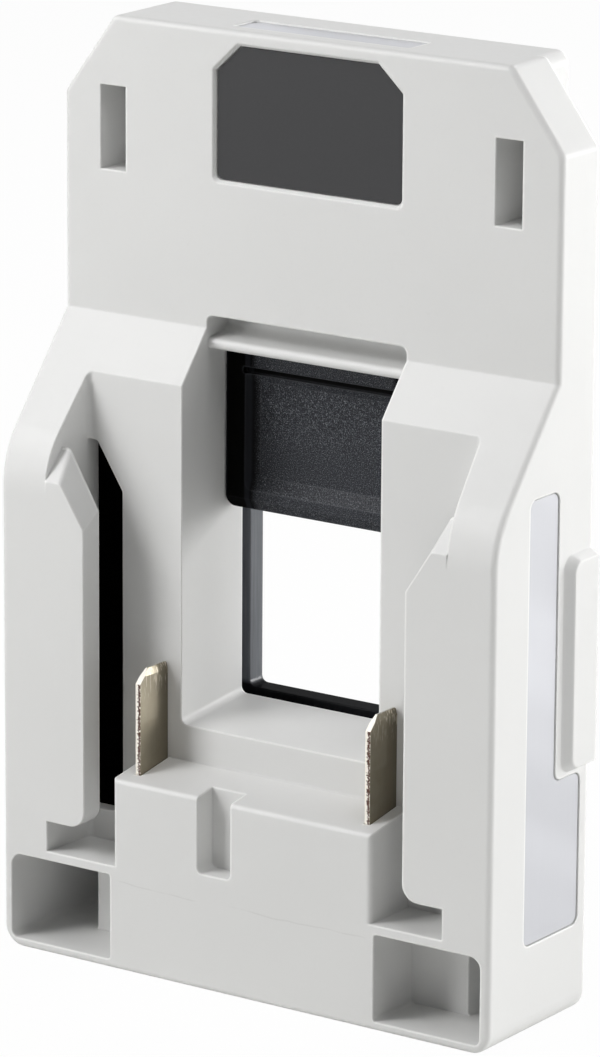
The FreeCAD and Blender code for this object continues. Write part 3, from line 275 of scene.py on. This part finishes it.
def spark_eroded_abs():
    """Black ABS moulded in a spark-eroded tool.

    The eye sees a dark blue-grey face of fine pebbles, with painted glints on their tops and
    painted shade in the hollows between them, between polished black margins with a painted
    highlight on the rounded side. The grain of the real face is about 0.15 mm; it is drawn coarser,
    so that it shows.
    """
    material, add, place = start_material("spark_eroded_abs")
    x, _, z = add("SeparateXYZ", None, Vector=place)
    aside = add("Math", settings=ABSOLUTE, i0=x)
    pebbles = add("TexVoronoi", settings={"feature": "SMOOTH_F1"}, Vector=place,
                  Scale=1 / sizes().latch_grain, Smoothness=0.5)
    fine = add("TexNoise", Vector=place, Scale=1 / (0.6 * sizes().latch_grain), Detail=2.0)

    # grained face: it fades at the sides and stops at the groove
    grained = add("MapRange", settings=SMOOTH, Value=aside,
                  From_Min=LATCH_GRAIN_HALF_W - 1.5 * MM, From_Max=LATCH_GRAIN_HALF_W, **FALLING)
    groove = add("Math", settings=SUBTRACT, i0=z, i1=LATCH_GROOVE_Z)
    groove = add("Math", settings=ABSOLUTE, i0=groove)
    groove = add("MapRange", Value=groove, From_Min=0.4 * MM, From_Max=0.75 * MM)
    grained = add("Math", settings=MULTIPLY, i0=grained, i1=groove)
    drift = add("TexNoise", Vector=place, Scale=pattern(7), Detail=2.0)
    tone = add("Mix", 2, RGBA, i0=drift, i6=shade(colours().latch, 0.82),
               i7=shade(colours().latch, 1.15))
    # painted glints: the tops of the pebbles are painted light
    spark = add("MapRange", Value=fine, From_Min=0.55, From_Max=0.70, To_Max=0.8)
    tone = add("Mix", 2, RGBA, i0=spark, i6=tone, i7=linear("85878c"))
    # painted shade: the hollows between the pebbles are painted near black
    hollow_shade = add("MapRange", Value=fine, From_Min=0.30, From_Max=0.47, To_Min=0.9, To_Max=0.0)
    tone = add("Mix", 2, RGBA, i0=hollow_shade, i6=tone, i7=linear("0e0f10"))

    # painted highlight: a lighter band on the rounded side of the recess, next to the black margin
    side = add("MapRange", settings=SMOOTH, Value=aside,
               From_Min=LATCH_GRAIN_HALF_W - 0.3 * MM, From_Max=LATCH_GRAIN_HALF_W + 0.1 * MM)
    margin = add("MapRange", settings=SMOOTH, Value=aside,
                 From_Min=LATCH_RECESS_HALF_W, From_Max=LATCH_RECESS_HALF_W + 0.3 * MM)
    side = add("Math", settings=SUBTRACT, i0=side, i1=margin)
    polished = add("Mix", 2, RGBA, i0=side, i6=linear("050505"), i7=linear("212226"))
    base = add("Mix", 2, RGBA, i0=grained, i6=polished, i7=tone)

    # painted highlight: the corners of the recess are painted lighter, less so off the grained face
    normal = add("Bevel", settings={"samples": 8}, Radius=0.45 * MM)
    bend = add("VectorMath", "Value", DOT_PRODUCT, i0=normal, i1=add("NewGeometry", "True Normal"))
    corner = add("MapRange", Value=bend, From_Min=0.90, From_Max=0.998, To_Min=0.42, To_Max=0.0)
    rubbed = add("MapRange", Value=grained, To_Min=0.35)
    corner = add("Math", settings=MULTIPLY, i0=corner, i1=rubbed)
    base = add("Mix", 2, RGBA, i0=corner, i6=base, i7=linear("75777c"))

    height = add("Math", settings=ADD, i0=pebbles, i1=fine)
    depth = add("Math", settings=MULTIPLY, i0=grained, i1=0.7)
    normal = add("Bump", Height=height, Distance=0.05 * MM, Strength=depth, Normal=normal)
    coat = add("MapRange", Value=grained, To_Min=0.05, To_Max=0.22)
    shader = add("BsdfPrincipled", Base_Color=base, Roughness=0.6, Normal=normal,
                 Specular_IOR_Level=0.0, Coat_Weight=coat, Coat_Roughness=0.38, Coat_Normal=normal)
    add("OutputMaterial", None, Surface=shader)
    return material


def glass_filled_nylon():
    """Black glass-filled nylon of the inner frame.

    The eye sees deep black, and on the upright walls of the window collar a polished blue-grey
    sheen with faint upright flow streaks; the blue-grey is a painted reflection under a real clear
    coat.
    """
    material, add, place = start_material("glass_filled_nylon")
    x, _, z = add("SeparateXYZ", None, Vector=place)
    flow = add("Mapping", Vector=place, Scale=(1.0, 1.0, 0.05))
    flow = add("TexNoise", Vector=flow, Scale=pattern(0.5), Detail=3.0)
    aside = add("Math", settings=ABSOLUTE, i0=x)
    collar = add("MapRange", Value=aside, From_Min=COLLAR_HALF_W, From_Max=COLLAR_HALF_W + 2.0 * MM,
                 **FALLING)
    upright = add("MapRange", Value=z, From_Min=COLLAR_FOOT_Z, From_Max=COLLAR_FOOT_Z + 0.8 * MM,
                  To_Min=0.08)
    # painted reflection: the collar walls are painted blue-grey over the black; the same mask gives
    # them a real clear coat
    sheen = add("Math", settings=MULTIPLY, i0=collar, i1=upright)
    tone = add("Mix", 2, RGBA, i0=flow, i6=linear("4c4f54"), i7=linear("74777d"))
    base = add("Mix", 2, RGBA, i0=sheen, i6=colours().frame_black, i7=tone)
    normal = add("Bevel", settings=ROUNDED, Radius=sizes().edge_soft)
    normal = add("Bump", Height=flow, Distance=0.02 * MM, Strength=0.4, Normal=normal)
    shader = add("BsdfPrincipled", Base_Color=base, Roughness=0.5, Normal=normal,
                 Specular_IOR_Level=0.0, Coat_Weight=sheen, Coat_Roughness=0.22,
                 Coat_Normal=normal)
    add("OutputMaterial", None, Surface=shader)
    return material


def insulator_pbt():
    """Black PBT of the terminal carrier and the contact holder: matt, with faint flow marks."""
    material, add, place = start_material("insulator_pbt")
    flow = add("TexNoise", Vector=place, Scale=pattern(6), Detail=4.0, Roughness=0.6)
    base = add("Mix", 2, RGBA, i0=flow, i6=linear("181818"), i7=linear("262627"))
    rough = add("TexNoise", Vector=place, Scale=pattern(1.5), Detail=3.0)
    rough = add("MapRange", Value=rough, To_Min=0.4, To_Max=0.56)
    grain = add("TexNoise", Vector=place, Scale=pattern(0.3))
    normal = add("Bevel", settings=ROUNDED, Radius=sizes().edge_soft)
    normal = add("Bump", Height=grain, Distance=0.01 * MM, Strength=0.35, Normal=normal)
    shader = add("BsdfPrincipled", Base_Color=base, Roughness=rough, Normal=normal, IOR=1.57)
    add("OutputMaterial", None, Surface=shader)
    return material


def printed_polycarbonate():
    """Dark printed polycarbonate film of the front label.

    The eye sees an even satin with the orange peel of its laminate.
    """
    material, add, place = start_material("printed_polycarbonate")
    drift = add("TexNoise", Vector=place, Scale=pattern(22), Detail=1.0)
    base = add("Mix", 2, RGBA, i0=drift, i6=shade(colours().front_label, 0.96),
               i7=shade(colours().front_label, 1.06))
    peel = add("TexNoise", Vector=place, Scale=pattern(0.45))
    rough = add("MapRange", Value=peel, To_Min=0.5, To_Max=0.62)
    normal = add("Bump", Height=peel, Distance=0.01 * MM, Strength=0.3)
    shader = add("BsdfPrincipled", Base_Color=base, Roughness=rough, Normal=normal, IOR=1.58,
                 Specular_IOR_Level=0.35)
    add("OutputMaterial", None, Surface=shader)
    return material


def metallised_film():
    """Metallised polyester film of the side and top labels.

    The eye sees cool silver that turns from lighter to darker in soft bands, with a hint of fine
    brushing.
    """
    material, add, place = start_material("metallised_film")
    x, y, z = add("SeparateXYZ", None, Vector=place)
    lean = add("Math", settings=ADD, i0=y, i1=x)
    lean = add("Math", settings=MULTIPLY, i0=lean, i1=0.5)
    lean = add("Math", settings=ADD, i0=z, i1=lean)
    bands = add("TexNoise", settings={"noise_dimensions": "1D"}, W=lean, Scale=pattern(17),
                Detail=1.0)
    bands = add("MapRange", settings=SMOOTH, Value=bands, From_Min=0.35, From_Max=0.68)
    base = add("Mix", 2, RGBA, i0=bands, i6=shade(colours().silver_label, 0.93),
               i7=shade(colours().silver_label, 1.08))
    brushed = add("Mapping", Vector=place, Scale=(1.0, 1.0, 0.03))
    brushed = add("TexNoise", Vector=brushed, Scale=pattern(0.25), Detail=3.0)
    faint = add("Math", settings=MULTIPLY, i0=brushed, i1=0.08)
    base = add("Mix", 2, RGBA, i0=faint, i6=base, i7=shade(colours().silver_label, 0.75))
    rough = add("MapRange", Value=brushed, To_Min=0.36, To_Max=0.46)
    normal = add("Bump", Height=brushed, Distance=0.008 * MM, Strength=0.3)
    shader = add("BsdfPrincipled", Base_Color=base, Roughness=rough, Normal=normal, Metallic=0.2,
                 IOR=1.46)
    add("OutputMaterial", None, Surface=shader)
    return material


def blanked_nickel_brass():
    """Nickel-plated brass strip of the blades, blanked by a press tool.

    The eye sees dull bronze-grey faces with painted shade toward the back, rubbed and scratched
    near the tip where contacts slide on, and cut edges with a painted cream-white highlight where
    they face the front. The front edge has the dark ragged band where the blank tore off.
    """
    material, add, place = start_material("blanked_nickel_brass")
    x, y, z = add("SeparateXYZ", None, Vector=place)
    nx, ny, nz = add("SeparateXYZ", None, Vector=add("NewGeometry", "True Normal"))

    # rolled faces
    streak = add("Mapping", Vector=place, Scale=ALONG_Z)
    streak = add("TexNoise", Vector=streak, Scale=pattern(0.4), Detail=3.0)
    cloud = add("TexNoise", Vector=place, Scale=pattern(2.2), Detail=3.0)
    # painted shade: the faces are painted darker toward the back, deeper in the channel
    shade_toward_back = add("MapRange", Value=y, From_Min=BLADE_FRONT_Y, From_Max=BLADE_BACK_Y)
    face = add("Mix", 2, RGBA, i0=shade_toward_back, i6=colours().blade, i7=shade(colours().blade, 0.5))
    faint = add("Math", settings=MULTIPLY, i0=streak, i1=0.25)
    face = add("Mix", 2, RGBA, i0=faint, i6=face, i7=linear("6b6555"))
    stain = add("MapRange", Value=cloud, From_Min=0.45, From_Max=0.75, To_Max=0.3)
    face = add("Mix", 2, RGBA, i0=stain, i6=face, i7=shade(colours().blade, 0.6))

    # rubbed patch and scratches near the tip
    tip = add("MapRange", settings=SMOOTH, Value=z,
              From_Min=BLADE_TIP_Z - 7.8 * MM, From_Max=BLADE_TIP_Z - 7.1 * MM)
    inner = add("MapRange", settings=SMOOTH, Value=y,
                From_Min=BLADE_FRONT_Y + 3.6 * MM, From_Max=BLADE_FRONT_Y + 4.2 * MM, **FALLING)
    rubbed = add("Math", settings=MULTIPLY, i0=tip, i1=inner)
    rubbed = add("Math", settings=MULTIPLY, i0=rubbed, i1=0.3)
    face = add("Mix", 2, RGBA, i0=rubbed, i6=face, i7=linear("b3ab99"))
    scratch = add("Mapping", Vector=place, Rotation=(0.9, 0.0, 0.0), Scale=(1.0, 1.0, 0.12))
    scratch = add("TexNoise", Vector=scratch, Scale=pattern(0.22), Detail=2.0)
    scratch = add("MapRange", Value=scratch, From_Min=0.56, From_Max=0.66)
    top = add("MapRange", Value=z,
              From_Min=BLADE_TIP_Z - 4.5 * MM, From_Max=BLADE_TIP_Z - 1.5 * MM)
    scratch = add("Math", settings=MULTIPLY, i0=scratch, i1=top)
    bare = add("Math", settings=MULTIPLY, i0=scratch, i1=0.7)
    face = add("Mix", 2, RGBA, i0=bare, i6=face, i7=linear("efe6d4"))

    # cut edges, with the torn band on the front edge, on the side toward +X
    aside = add("Math", settings=ABSOLUTE, i0=x)
    across = add("Math", settings=SUBTRACT, i0=aside, i1=BLADE_X)
    across = add("Math", settings=MULTIPLY, i0=across, i1=add("Math", settings=SIGN, i0=x))
    ragged = add("TexNoise", Vector=place, Scale=pattern(0.42), Detail=3.0, Roughness=0.75)
    ragged = add("Math", settings=SUBTRACT, i0=ragged, i1=0.5)
    ragged = add("Math", settings=MULTIPLY, i0=ragged, i1=1.5 * MM)
    across = add("Math", settings=ADD, i0=across, i1=ragged)
    torn = add("MapRange", Value=across, From_Min=-0.03 * MM, From_Max=0.03 * MM)
    before = add("MapRange", Value=across, From_Min=0.34 * MM, From_Max=0.42 * MM, **FALLING)
    front = add("MapRange", Value=ny, From_Min=-0.95, From_Max=-0.85, **FALLING)
    for mask in (before, front):
        torn = add("Math", settings=MULTIPLY, i0=torn, i1=mask)
    # painted highlight: the cut edges that face the front are painted cream-white, the torn band
    # stays dark, and edges that face up are grey
    cut = add("Mix", 2, RGBA, i0=torn, i6=linear("fffaf0"), i7=linear("4e2a18"))
    level = add("MapRange", Value=nz, From_Min=0.85, From_Max=0.97)
    cut = add("Mix", 2, RGBA, i0=level, i6=cut, i7=linear("a8a59d"))
    edge = add("Math", settings=ABSOLUTE, i0=nx)
    edge = add("MapRange", Value=edge, From_Min=0.4, From_Max=0.7, **FALLING)
    base = add("Mix", 2, RGBA, i0=edge, i6=face, i7=cut)

    metal = add("MapRange", Value=edge, To_Min=1.0, To_Max=0.1)
    rough = add("MapRange", Value=cloud, From_Min=0.3, From_Max=0.7, To_Min=0.34, To_Max=0.5)
    height = add("Math", settings=ADD, i0=streak, i1=scratch)
    normal = add("Bevel", settings=ROUNDED, Radius=0.12 * MM)
    normal = add("Bump", Height=height, Distance=0.012 * MM, Strength=0.6, Normal=normal)
    shader = add("BsdfPrincipled", Base_Color=base, Metallic=metal, Roughness=rough, Normal=normal)
    add("OutputMaterial", None, Surface=shader)
    return material


def worked_metal(name, colour, dark, rough, along, edge_tint=None):
    """Metal with the streaks of its drawing or rolling along one axis.

    The eye sees the streaks, darker stains and, where an edge colour is given, brighter convex
    edges.
    """
    material, add, place = start_material(name)
    streak = add("Mapping", Vector=place, Scale=along)
    streak = add("TexNoise", Vector=streak, Scale=pattern(0.35), Detail=3.0)
    stain = add("TexNoise", Vector=place, Scale=pattern(2.6), Detail=3.0)
    drawn = add("MapRange", Value=streak, From_Min=0.3, From_Max=0.7, To_Max=0.45)
    base = add("Mix", 2, RGBA, i0=drawn, i6=linear(colour), i7=linear(dark))
    stained = add("MapRange", Value=stain, From_Min=0.45, From_Max=0.7, To_Max=0.5)
    base = add("Mix", 2, RGBA, i0=stained, i6=base, i7=shade(linear(colour), 0.55))
    soft = add("Bevel", settings=ROUNDED, Radius=0.35 * MM)
    if edge_tint:
        bend = add("VectorMath", "Value", DOT_PRODUCT, i0=soft,
                   i1=add("NewGeometry", "True Normal"))
        edge = add("MapRange", Value=bend, From_Min=0.80, From_Max=0.995, To_Min=0.7, To_Max=0.0)
        base = add("Mix", 2, RGBA, i0=edge, i6=base, i7=linear(edge_tint))
    roughness = add("MapRange", Value=stain, From_Min=0.3, From_Max=0.7, To_Min=rough * 0.8,
                    To_Max=rough * 1.25)
    normal = add("Bump", Height=streak, Distance=0.012 * MM, Strength=0.6, Normal=soft)
    shader = add("BsdfPrincipled", Base_Color=base, Metallic=1.0, Roughness=roughness,
                 Normal=normal)
    add("OutputMaterial", None, Surface=shader)
    return material


def solder_masked_fr4():
    """FR4 board with solder mask: its glass weave shows faintly under a glossy green skin."""
    material, add, place = start_material("solder_masked_fr4")
    weave = add("TexBrick", "Fac", Vector=place, Scale=pattern(0.9))
    patch = add("TexNoise", Vector=place, Scale=pattern(7))
    base = add("Mix", 2, RGBA, i0=patch, i6=colours().board, i7=shade(colours().board, 0.7))
    faint = add("Math", settings=MULTIPLY, i0=weave, i1=0.12)
    base = add("Mix", 2, RGBA, i0=faint, i6=base, i7=linear("6b8f55"))
    normal = add("Bump", Height=weave, Distance=0.01 * MM, Strength=0.3)
    shader = add("BsdfPrincipled", Base_Color=base, Roughness=0.3, Normal=normal, IOR=1.5)
    add("OutputMaterial", None, Surface=shader)
    return material


def silicone_insulation(name, code):
    """Silicone rubber of a lead: soft and matt, with a dusty bloom."""
    material, add, place = start_material(name)
    bloom = add("TexNoise", Vector=place, Scale=pattern(3), Detail=4.0)
    bloom = add("MapRange", Value=bloom, From_Min=0.35, From_Max=0.7, To_Max=0.12)
    base = add("Mix", 2, RGBA, i0=bloom, i6=linear(code), i7=linear("8c8a88"))
    grain = add("TexNoise", Vector=place, Scale=pattern(0.4))
    normal = add("Bump", Height=grain, Distance=0.01 * MM, Strength=0.4)
    shader = add("BsdfPrincipled", Base_Color=base, Roughness=0.55, Normal=normal, IOR=1.41)
    add("OutputMaterial", None, Surface=shader)
    return material


class AdapterOperator:
    bl_options = {"REGISTER", "UNDO"}


class ADAPTER_OT_housing(AdapterOperator, bpy.types.Operator):
    """Finish the front housing and the rear cover as pale satin mouldings"""
    bl_idname = "adapter.housing"
    bl_label = "Finish Housing"

    def execute(self, context):
        plastic = moulded_abs()
        for node in ("front_housing", "rear_cover"):
            dress(node, plastic)
        return {"FINISHED"}


class ADAPTER_OT_black_mouldings(AdapterOperator, bpy.types.Operator):
    """Finish the release latch, the inner frame and the two insulators in black"""
    bl_idname = "adapter.black_mouldings"
    bl_label = "Finish Black Mouldings"

    def execute(self, context):
        dress("release_latch", spark_eroded_abs())
        dress("inner_frame", glass_filled_nylon())
        insulator = insulator_pbt()
        for node in ("terminal_carrier", "contact_holder"):
            dress(node, insulator)
        return {"FINISHED"}


class ADAPTER_OT_labels(AdapterOperator, bpy.types.Operator):
    """Finish the dark front label and the silver side and top labels, all left bare"""
    bl_idname = "adapter.labels"
    bl_label = "Finish Labels"

    def execute(self, context):
        dress("front_label", printed_polycarbonate())
        silver = metallised_film()
        for node in ("side_label", "top_label"):
            dress(node, silver)
        return {"FINISHED"}


class ADAPTER_OT_terminals(AdapterOperator, bpy.types.Operator):
    """Finish the two blade terminals that stand in the battery channel"""
    bl_idname = "adapter.terminals"
    bl_label = "Finish Blade Terminals"

    def execute(self, context):
        metal = blanked_nickel_brass()
        for node in ("battery_terminal_left", "battery_terminal_right"):
            dress(node, metal)
        return {"FINISHED"}


class ADAPTER_OT_inner_metal(AdapterOperator, bpy.types.Operator):
    """Finish the pin, spring, screws, appliance contacts and lead tabs"""
    bl_idname = "adapter.inner_metal"
    bl_label = "Finish Inner Metal"

    def execute(self, context):
        dress("latch_pin", worked_metal("ground_steel", "b9babd", "77787a", 0.25, ALONG_X))
        dress("latch_spring", worked_metal("drawn_spring_steel", "8f9093", "5a5b5d", 0.3, ALONG_X))
        zinc = worked_metal("zinc_plated_steel", "b4b5b8", "7c7d7f", 0.33, ALONG_Y, edge_tint="f2f2f2")
        for node in ("cover_screws", "frame_screws", "board_screws"):
            dress(node, zinc)
        brass = worked_metal("stamped_brass", "c4a868", "8a6f3a", 0.32, ALONG_Z, edge_tint="fff0c0")
        for node in ("contact_left", "contact_right", "lead_tab_left", "lead_tab_right"):
            dress(node, brass)
        return {"FINISHED"}


class ADAPTER_OT_wiring(AdapterOperator, bpy.types.Operator):
    """Finish the circuit board and the two leads"""
    bl_idname = "adapter.wiring"
    bl_label = "Finish Board and Leads"

    def execute(self, context):
        dress("circuit_board", solder_masked_fr4())
        dress("lead_left", silicone_insulation("black_silicone", "161616"))
        dress("lead_right", silicone_insulation("red_silicone", "a01414"))
        return {"FINISHED"}


def plain_light_world():
    """A surround that is white to the camera, in reflections and through clear parts.

    It is faint as a light, so that the softboxes shape the object.
    """
    world = bpy.data.worlds.new("studio")
    bpy.context.scene.world = world
    world.use_nodes = True
    tree = world.node_tree
    tree.nodes.clear()
    path = add_node(tree, "LightPath", None)
    seen = path["Is Camera Ray"]
    for ray in ("Is Glossy Ray", "Is Transmission Ray"):
        seen = add_node(tree, "Math", settings=MAXIMUM, i0=seen, i1=path[ray])
    light = add_node(tree, "Background", Color=WHITE, Strength=SURROUND_LIGHT)
    white = add_node(tree, "Background", Color=WHITE, Strength=1.0)
    surface = add_node(tree, "MixShader", i0=seen, i1=light, i2=white)
    add_node(tree, "OutputWorld", None, Surface=surface)


def softbox(name, turn, rise, level):
    """A square softbox toward the object's middle, at the level that LAMPS describes."""
    data = bpy.data.lights.new(name, "AREA")
    data.size = LAMP_SIZE
    data.energy = level * (math.pi * LAMP_DISTANCE) ** 2
    obj = bpy.data.objects.new(name, data)
    bpy.context.collection.objects.link(obj)
    toward = Vector((math.sin(turn) * math.cos(rise), -math.cos(turn) * math.cos(rise),
                     math.sin(rise)))
    middle = Vector(CAD_BOX[0]).lerp(Vector(CAD_BOX[1]), 0.5)
    facing = toward.to_track_quat("Z", "Y").to_matrix().to_4x4()
    obj.matrix_world = Matrix.Translation(middle + toward * LAMP_DISTANCE) @ facing


def floor_paper():
    """White paper: plain white to the camera, apart from a faint trace of the object's shadow."""
    material = bpy.data.materials.new("floor_paper")
    material.use_nodes = True
    tree = material.node_tree
    tree.nodes.clear()
    seen = add_node(tree, "LightPath", "Is Camera Ray")
    share = add_node(tree, "Math", settings=MULTIPLY, i0=seen, i1=FLOOR_WHITE)
    paper = add_node(tree, "BsdfDiffuse", Color=linear("ededeb"))
    white = add_node(tree, "Emission", Color=WHITE, Strength=1.0)
    surface = add_node(tree, "MixShader", i0=share, i1=paper, i2=white)
    add_node(tree, "OutputMaterial", None, Surface=surface)
    return material


class ADAPTER_OT_stage(AdapterOperator, bpy.types.Operator):
    """Lay the white floor and set the soft studio light"""
    bl_idname = "adapter.stage"
    bl_label = "Set Stage and Light"

    def execute(self, context):
        plain_light_world()
        for name, turn, rise, level in LAMPS:
            softbox(name, math.radians(turn), math.radians(rise), level)
        mesh = bpy.data.meshes.new("floor")
        floor = bmesh.new()
        bmesh.ops.create_grid(floor, x_segments=1, y_segments=1, size=FLOOR_HALF_W)
        floor.to_mesh(mesh)
        floor.free()
        mesh.materials.append(floor_paper())
        obj = bpy.data.objects.new("floor", mesh)
        context.collection.objects.link(obj)
        return {"FINISHED"}


class ADAPTER_OT_camera(AdapterOperator, bpy.types.Operator):
    """Place the camera where the object is seen from its right and from above"""
    bl_idname = "adapter.camera"
    bl_label = "Place Camera"

    def execute(self, context):
        c = context.scene.adapter_camera
        turn, dip, roll = c.azimuth, c.pitch, c.roll
        ahead = Vector((-math.sin(turn) * math.cos(dip), math.cos(turn) * math.cos(dip),
                        -math.sin(dip)))
        right = Vector((math.cos(turn), math.sin(turn), 0.0))
        up = right.cross(ahead)
        right, up = (right * math.cos(roll) + up * math.sin(roll),
                     up * math.cos(roll) - right * math.sin(roll))
        data = bpy.data.cameras.new("camera")
        data.lens = c.focal
        data.sensor_width = SENSOR_MM
        data.sensor_fit = "AUTO"
        data.clip_start = NEAREST
        data.clip_end = FARTHEST
        obj = bpy.data.objects.new("camera", data)
        context.collection.objects.link(obj)
        facing = Matrix((right, up, -ahead)).transposed().to_4x4()
        place = Vector(c.aim) - ahead * c.distance + right * c.aside - up * c.below
        obj.matrix_world = Matrix.Translation(place) @ facing
        context.scene.camera = obj
        return {"FINISHED"}


class ADAPTER_PT_panel(bpy.types.Panel):
    """Steps that finish the adapter"""
    bl_idname = "ADAPTER_PT_panel"
    bl_label = "Adapter"
    bl_space_type = "VIEW_3D"
    bl_region_type = "UI"
    bl_category = "Adapter"

    def draw(self, context):
        for operator in STEPS:
            self.layout.operator(operator.bl_idname)
        for name in GROUPS:
            group = getattr(context.scene, name)
            box = self.layout.box()
            for item in group.__annotations__:
                box.prop(group, item)


STEPS = (ADAPTER_OT_housing, ADAPTER_OT_black_mouldings, ADAPTER_OT_labels, ADAPTER_OT_terminals,
         ADAPTER_OT_inner_metal, ADAPTER_OT_wiring, ADAPTER_OT_stage, ADAPTER_OT_camera)
GROUPS = {"adapter_sizes": AdapterSizes, "adapter_colours": AdapterColours,
          "adapter_camera": AdapterCamera}


def register():
    for item in (*GROUPS.values(), *STEPS, ADAPTER_PT_panel):
        bpy.utils.register_class(item)
    for name, group in GROUPS.items():
        setattr(bpy.types.Scene, name, bpy.props.PointerProperty(type=group))


def unregister():
    for name in GROUPS:
        delattr(bpy.types.Scene, name)
    for item in reversed((*GROUPS.values(), *STEPS, ADAPTER_PT_panel)):
        bpy.utils.unregister_class(item)


def main():
    register()
    bpy.context.scene.view_settings.view_transform = "Standard"
    bpy.ops.adapter.housing()
    bpy.ops.adapter.black_mouldings()
    bpy.ops.adapter.labels()
    bpy.ops.adapter.terminals()
    bpy.ops.adapter.inner_metal()
    bpy.ops.adapter.wiring()
    bpy.ops.adapter.stage()
    bpy.ops.adapter.camera()


if __name__ == "__main__":
    main()
